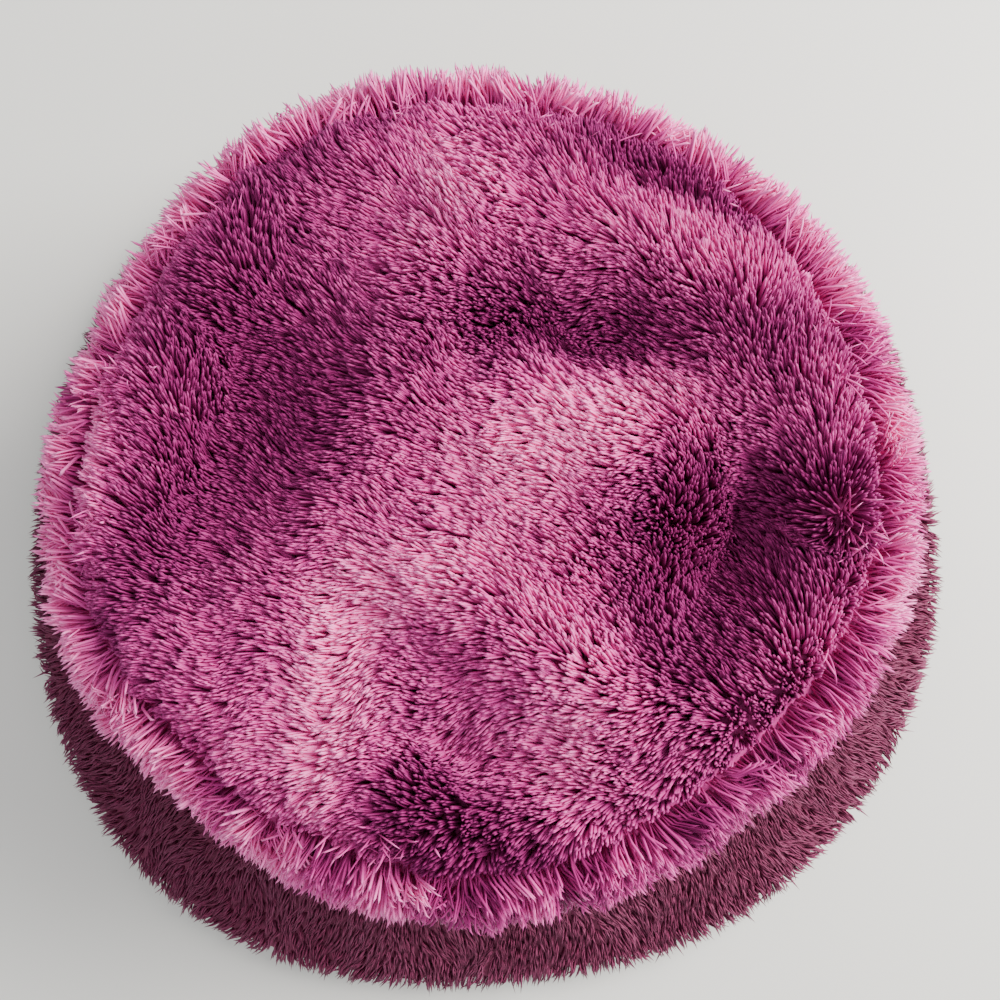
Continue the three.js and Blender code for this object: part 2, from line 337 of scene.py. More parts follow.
# ---------------- materials
def node(tree, kind, settings=None, links=None, stops=()):
    """Adds a node, sets its properties or input values, links its inputs and places a ramp's stops."""
    made = tree.nodes.new(kind)
    for name, value in (settings or {}).items():
        if isinstance(name, str) and hasattr(made, name):
            setattr(made, name, value)
        else:
            made.inputs[name].default_value = value
    for name, source in (links or {}).items():
        tree.links.new(source, made.inputs[name])
    while stops and len(made.color_ramp.elements) < len(stops):
        made.color_ramp.elements.new(0.5)
    for element, (place, colour) in zip(made.color_ramp.elements if stops else (), stops):
        element.position = place
        element.color = srgb(colour)
    return made


def material(name, roughness):
    """A new material, its node tree and its shader."""
    found = bpy.data.materials.new(name)
    found.use_nodes = True
    shader = found.node_tree.nodes["Principled BSDF"]
    shader.inputs["Roughness"].default_value = roughness
    return found, found.node_tree, shader


def blend(tree, share, start, end, first, second):
    """first turning into second while a share goes from start to end."""
    reach = node(tree, "ShaderNodeMapRange", {"From Min": start, "From Max": end}, {"Value": share})
    mixed = node(tree, "ShaderNodeMix", {"data_type": "RGBA"}, {"Factor": reach.outputs["Result"]})
    tree.links.new(first, mixed.inputs[6])
    tree.links.new(second, mixed.inputs[7])
    return mixed.outputs[2]


def speckle(tree, scale, detail, *pairs):
    """Colours that waver between the two of each pair, in a noise of the piece's own Object coordinates."""
    place = node(tree, "ShaderNodeTexCoord").outputs["Object"]
    noise = node(tree, "ShaderNodeTexNoise", {"Scale": scale, "Detail": detail}, {"Vector": place})
    source = {"Fac": noise.outputs["Fac"]}
    stops = [((0.3, low), (0.7, high)) for low, high in pairs]
    return [node(tree, "ShaderNodeValToRGB", None, source, pair).outputs["Color"] for pair in stops]


def flecked(name, scale, detail, low, high, roughness):
    """A cloth of two close shades, its fleck as fine as its yarns or loops."""
    made, tree, shader = material(name, roughness)
    tree.links.new(speckle(tree, scale, detail, (low, high))[0], shader.inputs["Base Color"])
    return made


def pile_material(name, dark, middle, pale, roughness):
    """Polyester fur fibre: a silky strand, light at its end; in the dark and middle ramps its root is
    painted lighter than its flank, a painted light for the light that reaches between the strands.

    The strand's own UV map holds how pale it is (U), which carries the tip's and the side's painted light
    and shade as well as each strand's own tone, and the way along it (V)."""
    made, tree, shader = material(name, roughness)
    place = node(tree, "ShaderNodeUVMap", {"uv_map": "OFBake"})
    parts = node(tree, "ShaderNodeSeparateXYZ", links={0: place.outputs["UV"]})
    share, along = parts.outputs["X"], {"Fac": parts.outputs["Y"]}
    ramps = [node(tree, "ShaderNodeValToRGB", None, along, stops) for stops in (dark, middle, pale)]
    colours = [ramp.outputs["Color"] for ramp in ramps]
    lower = blend(tree, share, 0.05, 0.5, colours[0], colours[1])
    tree.links.new(blend(tree, share, 0.5, 0.95, lower, colours[2]), shader.inputs["Base Color"])
    shader.inputs["Specular IOR Level"].default_value = 0.16
    shader.inputs["Specular Tint"].default_value = srgb("#FF90CC")
    return made


def crown_pile_material():
    """Polyester fur, dyed purple and its ends printed a pale pink: the ends shine, the flanks stay deep. The
    roots of its dark and middle ramps are painted lighter than the flanks, a painted light that lifts the
    shade between the strands.
    """
    # painted light: the dark and middle ramps start lighter at the root than on the flank, to lift the shade
    # between the strands
    dark = ((0.0, "#c03c88"), (0.45, "#7c1e56"), (0.8, "#7a1e56"), (1.0, "#922e6c"))
    pale = ((0.0, "#dc4aa0"), (0.35, "#e454a8"), (0.7, "#f86cb8"), (1.0, "#ff9ad2"))
    middle = ((0.0, "#c8408e"), (0.45, "#b83684"), (0.8, "#c84090"), (1.0, "#e866b2"))
    return pile_material("Polyester fur, tip-printed", dark, middle, pale, 0.42)


def brim_pile_shade_painted_material():
    """The same fur, brushed flat, with little shine: its even, deep, greyed mauve is painted shade for the
    shade under the crown's overhang.
    """
    # painted light: the dark and middle ramps start lighter at the root than on the flank, to lift the shade
    # between the strands
    dark = ((0.0, "#843858"), (0.5, "#722e4a"), (1.0, "#743850"))
    pale = ((0.0, "#904264"), (0.5, "#8a4a66"), (1.0, "#945a74"))
    middle = ((0.0, "#8a3e60"), (0.5, "#7e3c58"), (1.0, "#844860"))
    return pile_material("Polyester fur, brushed flat", dark, middle, pale, 0.5)


def crown_backing_material():
    """Knitted polyester backing, dyed like its pile: loops about 1 mm apart, seen where the pile parts. Its
    pink is lighter than the pile's deep flanks, a painted light that lifts the shade where the pile parts.
    """
    return flecked("Knitted backing, purple", 900.0, 2.0, "#b4307c", "#c84090", 0.95)


def brim_backing_shade_painted_material():
    """The same backing in the brim's deep mauve, painted shade for the shade under the crown's overhang."""
    return flecked("Knitted backing, mauve", 900.0, 2.0, "#74304c", "#8a3e5c", 0.95)


def satin_material():
    """Polyester lining satin, wine coloured: warp floats make it shine, and leave streaks across it."""
    made, tree, shader = material("Polyester lining satin", 0.42)
    shades = speckle(tree, 2600.0, 1.0, ("#3c0c28", "#4a1232"), ("#48122e", "#5a1a3e"))
    place = node(tree, "ShaderNodeTexCoord").outputs["Object"]
    streaks = node(tree, "ShaderNodeTexNoise", {"Scale": 240.0, "Detail": 3.0}, {"Vector": place})
    colour = blend(tree, streaks.outputs["Fac"], 0.35, 0.65, *shades)
    tree.links.new(colour, shader.inputs["Base Color"])
    shader.inputs["Specular IOR Level"].default_value = 0.35
    return made


def ribbon_material():
    """Grosgrain ribbon of rayon and cotton: its ribs are in the mesh, and its yarns are a fine fleck."""
    return flecked("Grosgrain ribbon", 1800.0, 2.0, "#220a18", "#341226", 0.62)


def interlining_material():
    """Stitch-bonded non-woven interlining: white fibres pressed flat, with thin and thick places."""
    return flecked("Non-woven interlining", 420.0, 4.0, "#b9b4aa", "#e2ded4", 0.95)


def label_material():
    """Woven satin label tape, white and blank: crossing yarns about a quarter of a millimetre apart."""
    return flecked("Woven label tape", 3000.0, 1.0, "#cfcbc4", "#eeeae4", 0.55)


def thread_material():
    """Spun polyester sewing thread, dyed purple: slightly shiny plies."""
    return flecked("Spun polyester thread", 2400.0, 1.0, "#5c1644", "#80285f", 0.5)


MATERIALS = {}


def made_of(maker):
    """What a maker makes, made the first time that it is asked for."""
    if maker not in MATERIALS:
        MATERIALS[maker] = maker()
    return MATERIALS[maker]


# ---------------- pile
def strand_template(widths):
    """One strand of fur: a three-sided cone on the origin, cut into rings that are scaled to their widths.

    Returns its points (z is the way along, x and y its section), its triangles, and how far round each
    corner is, as a share of a turn from the middle."""
    bpy.ops.object.select_all(action="DESELECT")
    bpy.ops.mesh.primitive_cone_add(vertices=3, radius1=1, radius2=0, depth=1, location=(0, 0, 0.5))
    obj = bpy.context.object
    bpy.ops.object.transform_apply(location=True, rotation=True, scale=True)
    bpy.ops.object.mode_set(mode="EDIT")
    for height, _ in widths[1:]:
        bpy.ops.mesh.select_all(action="SELECT")
        bpy.ops.mesh.bisect(plane_co=(0, 0, height), plane_no=(0, 0, 1))
    bpy.ops.mesh.select_all(action="SELECT")
    bpy.ops.mesh.quads_convert_to_tris()
    bpy.ops.object.mode_set(mode="OBJECT")
    mesh = obj.data
    points = np.array([v.co[:] for v in mesh.vertices])
    for height, width in widths:
        ring = np.isclose(points[:, 2], height, atol=1e-3)
        lengths = np.hypot(points[ring, 0], points[ring, 1])[:, None]
        points[ring, :2] *= width / np.maximum(lengths, 1e-6)
    triangles = np.array([p.vertices[:] for p in mesh.polygons])
    angles = np.arctan2(points[:, 1], points[:, 0]) / (2 * math.pi) % 1
    turn = angles[triangles]
    on_axis = np.hypot(points[:, 0], points[:, 1])[triangles] < 1e-6
    turn = np.where((turn.max(1, keepdims=True) - turn > 0.5) & ~on_axis, turn + 1, turn)
    corners = np.maximum((~on_axis).sum(1, keepdims=True), 1)
    turn = np.where(on_axis, np.where(on_axis, 0, turn).sum(1, keepdims=True) / corners, turn)
    bpy.data.objects.remove(obj)
    return points, triangles, turn - 0.5


def scattered(obj, count, seed):
    """Evenly random roots on a cloth's faces, with the smooth normal at each."""
    rng = np.random.default_rng(seed)
    mesh = obj.data
    mesh.calc_loop_triangles()
    points = np.empty(len(mesh.vertices) * 3)
    mesh.vertices.foreach_get("co", points)
    normals = np.empty(len(mesh.vertices) * 3)
    mesh.vertices.foreach_get("normal", normals)
    corners = np.empty(len(mesh.loop_triangles) * 3, dtype=np.int32)
    mesh.loop_triangles.foreach_get("vertices", corners)
    points, normals, corners = points.reshape(-1, 3), normals.reshape(-1, 3), corners.reshape(-1, 3)
    a, b, c = (points[corners[:, i]] for i in range(3))
    area = np.linalg.norm(np.cross(b - a, c - a), axis=1)
    steps = (np.arange(count) + rng.uniform(0, 1, count)) / count
    chosen = np.searchsorted(np.cumsum(area) / area.sum(), steps).clip(0, len(area) - 1)
    u, v = rng.uniform(0, 1, (2, count))
    u, v = np.where(u + v > 1, 1 - u, u), np.where(u + v > 1, 1 - v, v)
    weights = np.stack((1 - u - v, u, v), 1)[:, :, None]
    roots = (points[corners[chosen]] * weights).sum(1)
    ups = (normals[corners[chosen]] * weights).sum(1)
    return roots, ups / np.linalg.norm(ups, axis=1, keepdims=True)


def unit(vectors):
    """Each vector at length 1."""
    return vectors / np.maximum(np.linalg.norm(vectors, axis=1, keepdims=True), 1e-9)


def gathered(roots, every, pull, wander, seed):
    """How far each strand's end moves with its lock: towards the lock's middle, and the lock's own way.

    Every so many strands make a lock, and wander is how far the lock strays, in metres."""
    rng = np.random.default_rng(seed)
    middles = roots[rng.permutation(len(roots))[::every]]
    tree = kdtree.KDTree(len(middles))
    for i, middle in enumerate(middles):
        tree.insert(middle, i)
    tree.balance()
    nearest = np.array([tree.find(root)[1] for root in roots])
    stray = rng.normal(0, wander, (len(middles), 3))
    return (middles[nearest] - roots) * pull + stray[nearest]


def strands(name, template, material, roots, ups, comb, lean, length, width, pale, sway, floor=None):
    """Copies the strand template to every root, bent from its normal towards its combed direction.

    lean is 0 upright and 1 lying down, pale is 0 for a dark strand and 1 for a pale one, sway moves its end,
    and no part of a strand goes below the floor."""
    points, triangles, side_share = template
    comb = unit(comb - ups * (comb * ups).sum(1, keepdims=True))
    side = np.cross(ups, comb)
    heights = np.unique(np.round(points[:, 2], 4))
    centre = {0.0: roots}
    tangent = {}
    for low, high in zip(heights[:-1], heights[1:]):
        middle = (low + high) / 2
        angle = (lean * (ROOT_LEAN + (1 - ROOT_LEAN) * middle) * FULL_LEAN)[:, None]
        way = ups * np.cos(angle) + comb * np.sin(angle)
        way = unit(way * length[:, None] + sway * 2 * middle)
        centre[high] = centre[low] + way * (length * (high - low))[:, None]
        tangent[low] = tangent[high] = way
    co = np.empty((len(roots), len(points), 3))
    for i, (x, y, z) in enumerate(points):
        z = float(np.round(z, 4))
        across = np.cross(tangent[z], side)
        co[:, i] = centre[z] + side * (x * width)[:, None] + across * (y * width)[:, None]
    if floor is not None:
        co[:, :, 2] = np.maximum(co[:, :, 2], floor)
    return strand_object(name, co, triangles, points[:, 2], side_share, pale, material)


def strand_object(name, co, triangles, heights, side_share, pale, material):
    """One mesh of all the strands, with a UV map of how pale each is and the way along it."""
    count, each = co.shape[:2]
    faces = (triangles[None] + (np.arange(count) * each)[:, None, None]).reshape(-1)
    mesh = bpy.data.meshes.new(name)
    mesh.vertices.add(count * each)
    mesh.vertices.foreach_set("co", co.ravel())
    mesh.loops.add(len(faces))
    mesh.loops.foreach_set("vertex_index", faces.astype(np.int32))
    mesh.polygons.add(len(faces) // 3)
    mesh.polygons.foreach_set("loop_start", np.arange(0, len(faces), 3, dtype=np.int32))
    mesh.polygons.foreach_set("use_smooth", np.ones(len(faces) // 3, dtype=bool))
    mesh.update(calc_edges=True)
    u = np.clip(pale[:, None, None] + side_share[None] * 0.02, 0.01, 0.99)
    v = np.broadcast_to(np.clip(heights[triangles], 0.02, 0.98)[None], u.shape)
    layer = mesh.uv_layers.new(name="OFBake")
    layer.uv.foreach_set("vector", np.stack((u, v), -1).astype(np.float32).ravel())
    mesh.materials.append(material)
    obj = bpy.data.objects.new(name, mesh)
    bpy.context.scene.collection.objects.link(obj)
    return obj


def planted(name, letters, slot, template, maker, *fur, floor=None):
    """The strands of a fur as one piece, or as a lettered few from left to right."""
    order = np.argsort(fur[0][:, 0]) if letters else np.arange(len(fur[0]))
    names = [f"{name}_{letter}" for letter in letters] or [name]
    edges = np.linspace(0, len(order), len(names) + 1).astype(int)
    for piece, start, end in zip(names, edges[:-1], edges[1:]):
        pick = order[start:end]
        obj = strands(piece, template, made_of(maker), *[part[pick] for part in fur], floor=floor)
        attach(obj, BODY)


def brushed(x, y):
    """The way the tip's pile points: the strokes blended by distance, turning outwards at the rim."""
    way_x, way_y, total = 0, 0, 0
    for _, at_x, at_y, angle in STROKES:
        near = 1 / (60 + (x - at_x) ** 2 + (y - at_y) ** 2) ** 1.5
        way_x = way_x + near * math.cos(math.radians(angle))
        way_y = way_y + near * math.sin(math.radians(angle))
        total = total + near
    radius = np.maximum(np.hypot(x, y), 1e-3)
    outwards = smooth(radius, 74, 88) * 0.45 / radius
    way_x, way_y = way_x / total + outwards * x, way_y / total + outwards * y
    off_x, off_y = x - PARTING_X, y - PARTING_Y
    off = np.maximum(np.hypot(off_x, off_y), 1e-3)
    parted = 2.5 * np.exp(-((off / PARTING_REACH) ** 2))
    way_x, way_y = way_x + parted * off_x / off, way_y + parted * off_y / off
    swirl = 0.35 * ripples(x, y, 26, 11)
    return way_x * np.cos(swirl) - way_y * np.sin(swirl), way_x * np.sin(swirl) + way_y * np.cos(swirl)


def painted_light_and_shade(x, y):
    """The painted light and shade of the tip's pile, from its patches: how far it is painted paler or deeper
    than usual.
    """
    return sum(amount * patch(x, y, *place) for _, *place, amount in LIGHT_AND_SHADE_PATCHES)


# ---------------- sizes that a user would change
class HatPile(bpy.types.PropertyGroup):
    crown_length: bpy.props.FloatProperty(
        name="Crown pile", description="Length of the crown's fur",
        default=0.0100, unit="LENGTH", precision=4,
    )
    tip_length: bpy.props.FloatProperty(
        name="Tip pile", description="Length of the fur on the flat tip panel",
        default=0.0085, unit="LENGTH", precision=4,
    )
    brim_length: bpy.props.FloatProperty(
        name="Brim pile", description="Length of the brim's fur",
        default=0.0052, unit="LENGTH", precision=4,
    )
    under_length: bpy.props.FloatProperty(
        name="Under pile", description="Length of the fur that the hat stands on",
        default=0.0074, unit="LENGTH", precision=4,
    )
    strand_width: bpy.props.FloatProperty(
        name="Strand", description="Half of the width of one strand",
        default=0.00044, unit="LENGTH", precision=5,
    )
    tip_strands: bpy.props.IntProperty(
        name="Tip strands", description="Strands on the tip panel", default=46000
    )
    side_strands: bpy.props.IntProperty(
        name="Side strands", description="Strands on each side panel", default=18500
    )
    brim_strands: bpy.props.IntProperty(
        name="Brim strands", description="Strands on each upper brim panel", default=16000
    )
    under_strands: bpy.props.IntProperty(
        name="Under strands", description="Strands on each under brim panel", default=7500
    )


class HatLight(bpy.types.PropertyGroup):
    window_power: bpy.props.FloatProperty(
        name="Window", description="Power of the window light in watts", default=34.0
    )
    fill_strength: bpy.props.FloatProperty(
        name="Fill", description="Strength of the room's light", default=1.1
    )
    floor_colour: bpy.props.FloatVectorProperty(
        name="Floor", description="Colour of the pale floor", subtype="COLOR", size=4,
        default=srgb("#DEDDD6"),
    )


# ---------------- operators
class HAT_OT_stage(bpy.types.Operator):
    """Adds the pale floor, the soft lights and the camera"""

    bl_idname = "hat.stage"
    bl_label = "Stage"

    def execute(self, context):
        lights = context.scene.hat_light
        bpy.ops.mesh.primitive_plane_add(size=6, location=(0, 0, -0.0002))
        floor = context.object
        floor.name = "floor"
        made, _, shader = material("Pale desk laminate", 0.55)
        shader.inputs["Base Color"].default_value = lights.floor_colour
        floor.data.materials.append(made)
        world = bpy.data.worlds.new("Room")
        context.scene.world = world
        world.use_nodes = True
        sky = world.node_tree.nodes["Background"].inputs
        sky["Color"].default_value = srgb("#EEF0F4")
        sky["Strength"].default_value = lights.fill_strength
        self.window(context, lights.window_power)
        self.camera(context)
        return {"FINISHED"}

    def window(self, context, power):
        """A soft window behind the hat and to its right."""
        data = bpy.data.lights.new("window", "AREA")
        data.shape, data.size, data.energy = "SQUARE", WINDOW_SIZE, power
        data.color = (1.0, 0.98, 0.96)
        lamp = bpy.data.objects.new("window", data)
        context.scene.collection.objects.link(lamp)
        lamp.location = WINDOW_PLACE
        lamp.rotation_euler = (INSIDE_CROWN - lamp.location).to_track_quat("-Z", "Y").to_euler()

    def camera(self, context):
        """A hand-held camera close above the hat, leaning back a little."""
        data = bpy.data.cameras.new("camera")
        data.lens, data.sensor_width = 36, 36
        data.clip_start = 0.01
        camera = bpy.data.objects.new("camera", data)
        context.scene.collection.objects.link(camera)
        back = Vector((0, -math.sin(CAMERA_LEAN), math.cos(CAMERA_LEAN)))
        camera.location = CAMERA_AIM + back * CAMERA_DISTANCE
        camera.rotation_euler = (CAMERA_LEAN, 0, 0)
        context.scene.camera = camera


class HAT_OT_backings(bpy.types.Operator):
    """Makes the knitted backing of each plush panel"""

    bl_idname = "hat.backings"
    bl_label = "Plush backings"

    def execute(self, context):
        tip = turned_cloth("tip_backing", meridian(TIP_LINE, 0, 1, 32, 0), 120)
        slump(tip, True)
        facing_out(tip, INSIDE_CROWN)
        side = turned_cloth("crown_side", meridian(SIDE_LINE, 0, 1, 18, 0))
        for _, half in halves(side, "crown_side_{}_backing"):
            facing_out(half, INSIDE_CROWN)
        for name, way in (("brim_upper", 1), ("brim_under", -1)):
            points = meridian(BRIM_LINE, BRIM_EDGE, 1, 18, way * BRIM_GAP)
            face = turned_cloth(name, self.turned_edge(points[0], way) + points)
            for _, half in halves(face, name + "_{}_backing"):
                facing_out(half, FAR_BELOW, way > 0)
        return {"FINISHED"}

    def turned_edge(self, edge, way):
        """The brim's faces turn towards each other at the rim, where they are sewn together."""
        turn = ((1.5, 1.45), (1.3, 0.8), (0.8, 0.25))
        return [(edge[0] + out, edge[1] - way * drop) for out, drop in turn]


class HAT_OT_plush(bpy.types.Operator):
    """Gives the backings their thickness and their material"""

    bl_idname = "hat.plush"
    bl_label = "Plush panels"

    def execute(self, context):
        self.panel("tip", "crown_tip", crown_backing_material, (0.186, 0.186), 0.0262)
        for place in ("front", "back"):
            word = f"crown_side_{place}"
            self.panel(word, word, crown_backing_material, (0.312, 0.066), None)
        for face in ("upper", "under"):
            for place in ("front", "back"):
                word = f"brim_{face}_{place}"
                self.panel(word, word, brim_backing_shade_painted_material, (0.292, 0.146), 0.0200)
        return {"FINISHED"}

    def panel(self, word, replaced, maker, flat, area):
        backing = bpy.data.objects[f"{word}_backing"]
        on_brim = word.startswith("brim")
        thicken(backing, BACKING)
        finished(backing, made_of(maker), "brim_plush" if on_brim else "crown_plush", replaced)


class HAT_OT_crown_pile(bpy.types.Operator):
    """Plants the fur of the tip and side panels"""

    bl_idname = "hat.crown_pile"
    bl_label = "Crown fur"

    def execute(self, context):
        pile = context.scene.hat_pile
        blunt = strand_template(((0.0, 0.7), (0.42, 1.0), (0.88, 0.85)))
        self.tip(pile, blunt)
        curled = strand_template(((0.0, 0.8), (0.2, 1), (0.4, 1), (0.6, 1), (0.8, 0.9)))
        self.caught(pile, curled)
        for place, seed in (("front", 21), ("back", 22)):
            self.side(pile, blunt, place, seed)
        return {"FINISHED"}

    def tip(self, pile, template):
        """The tip's fur lies as it was brushed, flatter where it is pale, and is short at the seam, where
        its colour is painted deep as painted shade in the seam's groove.
        """
        rng = np.random.default_rng(7)
        roots, ups = scattered(bpy.data.objects["tip_backing"], pile.tip_strands, 5)
        x, y = roots[:, 0] / MM, roots[:, 1] / MM
        radius = np.hypot(x, y) / out_of_round(x, y, TIP_SEAM_HEIGHT)
        way_x, way_y = brushed(x, y)
        count = len(roots)
        comb = np.stack((way_x, way_y, np.zeros(count)), 1)
        comb = unit(comb) + rng.normal(0, 0.11, (count, 3))
        # the patches' painted light and shade; the pale patches also lie flatter
        pale = painted_light_and_shade(x, y)
        rim = smooth(radius + 2 * ripples(x, y, 15, 33), 78, 87)
        lean = 0.66 + 0.08 * pale + 0.06 * ripples(x, y, 14, 12) + rng.normal(0, 0.05, count)
        lean = np.clip(lean - 0.2 * smooth(-pale, 0.5, 1.0), 0.2, 0.88) * (1 - 0.4 * rim)
        length = pile.tip_length * rng.uniform(0.8, 1.08, count) * (1 - 0.5 * rim)
        # the colour: the patches' painted light and shade, with each strand's own random tone
        shade = 0.42 + 0.6 * pale + 0.06 * ripples(x, y, 9, 13) + rng.normal(0, 0.07, count)
        # painted shade: deeper at the rim, in the groove of the tip's seam
        shade = np.clip(shade - 0.1 * rim, 0, 1)
        sway = gathered(roots, 9, 0.3, 0.0006, 8)
        width = pile.strand_width * rng.uniform(0.8, 1.2, count)
        planted(
            "tip_pile", "abcde", "crown_plush", template, crown_pile_material,
            roots, ups, comb, lean, length, width, shade, sway,
        )

    def caught(self, pile, template):
        """The curled hairs that the needle drew out along the seam between the tip and the side panels."""
        rng = np.random.default_rng(51)
        roots, ups = scattered(bpy.data.objects["tip_backing"], 9000, 52)
        x, y = roots[:, 0] / MM, roots[:, 1] / MM
        radius = np.hypot(x, y) / out_of_round(x, y, TIP_SEAM_HEIGHT)
        near = (radius > 80) & (ripples(x, y, 30, 53) + rng.uniform(0, 1, len(x)) > 1.3)
        roots, ups, x, y = roots[near], ups[near], x[near], y[near]
        count = len(roots)
        turn = np.arctan2(y, x) + rng.choice((-1, 1), count) * rng.uniform(0.9, 2.0, count)
        comb = np.stack((np.cos(turn), np.sin(turn), np.zeros(count)), 1)
        sway = rng.normal(0, 0.006, (count, 3)) + ups * 0.001
        lean = rng.uniform(0.45, 0.8, count)
        length = pile.tip_length * rng.uniform(0.9, 1.3, count)
        width = pile.strand_width * rng.uniform(0.5, 0.9, count)
        shade = rng.uniform(0.45, 0.8, count)
        planted(
            "tip_pile_caught", "", "crown_plush", template, crown_pile_material,
            roots, ups, comb, lean, length, width, shade, sway,
        )

    def side(self, pile, template, place, seed):
        """The side panels' fur hangs in thick locks, and is longest at the back left and at the right. Its
        colour carries painted light and shade: paler towards the left and on locks whose ends lift, deep on
        the front right, which faces away from the light, and in a short line at the left for the shade of a
        notch.
        """
        rng = np.random.default_rng(seed)
        roots, ups = scattered(bpy.data.objects[f"crown_side_{place}_backing"], pile.side_strands, seed)
        x, y, z = (roots / MM).T
        count = len(roots)
        turn = np.arctan2(y, x)
        around = turn * SIDE_RADIUS
        swirl = np.stack((-np.sin(turn), np.cos(turn), np.zeros(count)), 1)
        comb = swirl * (0.6 * ripples(around, z, 26, 14))[:, None] + rng.normal(0, 0.3, (count, 3))
        comb = comb + (0, 0, -1)
        lean = 0.64 + 0.14 * ripples(around, z, 18, 15) + rng.normal(0, 0.11, count)
        lean = np.clip(lean - 0.2 * smooth(z, 84, 95), 0.2, 0.88)
        longer = 0.16 * patch(x, y, -50, 85, 60, 40, 20) + 0.25 * patch(x, y, 88, 50, 30, 30, 0)
        length = pile.crown_length * rng.uniform(0.82, 1.06, count) * (1 + longer)
        # painted shade: on the front right, which faces away from the light, and in a short line at the left
        # for the shade of a notch
        side_painted_shade = 0.5 * patch(x, y, 45, -88, 80, 45, 15) + 0.7 * patch(x, y, -96, 20, 9, 3, 160)
        # painted light and shade: paler towards the left and deeper towards the right, with random swells of
        # tone
        shade = 0.78 - 0.0014 * x - side_painted_shade + 0.16 * ripples(around, z, 26, 16)
        sway = gathered(roots, 22, 0.5, 0.0025, seed)
        # painted light: locks whose ends lift are paler, as if they catch the light
        shade = np.clip(shade + 45 * sway[:, 2] + rng.normal(0, 0.08, count), 0, 1)
        width = pile.strand_width * 0.88 * rng.uniform(0.8, 1.2, count)
        planted(
            f"crown_side_{place}_pile", "ab", "crown_plush", template, crown_pile_material,
            roots, ups, comb, lean, length, width, shade, sway,
        )


class HAT_OT_brim_pile(bpy.types.Operator):
    """Plants the fur of the brim's upper and under panels"""

    bl_idname = "hat.brim_pile"
    bl_label = "Brim fur"

    def execute(self, context):
        pile = context.scene.hat_pile
        template = strand_template(((0.0, 0.9), (0.5, 1.0)))
        for face, count, seed in (("upper", pile.brim_strands, 31), ("under", pile.under_strands, 41)):
            for place in ("front", "back"):
                self.panel(pile, template, f"brim_{face}_{place}", count, seed, face == "under")
                seed += 1
        return {"FINISHED"}

    def panel(self, pile, template, name, count, seed, under):
        """The brim's fur points out and down: flat on its upper face, half upright where the hat stands."""
        rng = np.random.default_rng(seed)
        roots, ups = scattered(bpy.data.objects[f"{name}_backing"], count, seed)
        x, y, _ = (roots / MM).T
        radius = np.hypot(x, y)
        outward = np.stack((x / radius, y / radius, np.full(count, -0.4)), 1)
        around = np.arctan2(y, x) * BRIM_RADIUS
        swirl = np.stack((-y / radius, x / radius, np.zeros(count)), 1)
        comb = outward + swirl * (0.5 * ripples(around, radius, 30, 17))[:, None]
        comb = comb + rng.normal(0, 0.16, (count, 3))
        lean = (0.52 if under else 0.84) + 0.04 * ripples(around, radius, 16, 18)
        lean = np.clip(lean + rng.normal(0, 0.05, count), 0.3, 0.92)
        length = (pile.under_length if under else pile.brim_length) * rng.uniform(0.8, 1.05, count)
        shade = np.clip(0.45 + 0.1 * ripples(around, radius, 20, 19) + rng.normal(0, 0.12, count), 0, 1)
        sway = gathered(roots, 12, 0.4, 0.0006, seed)
        width = pile.strand_width * 0.8 * rng.uniform(0.8, 1.2, count)
        planted(
            f"{name}_pile", "", "brim_plush", template, brim_pile_shade_painted_material,
            roots, ups, comb, lean, length, width, shade, sway, floor=0.0003 if under else 0.0008,
        )


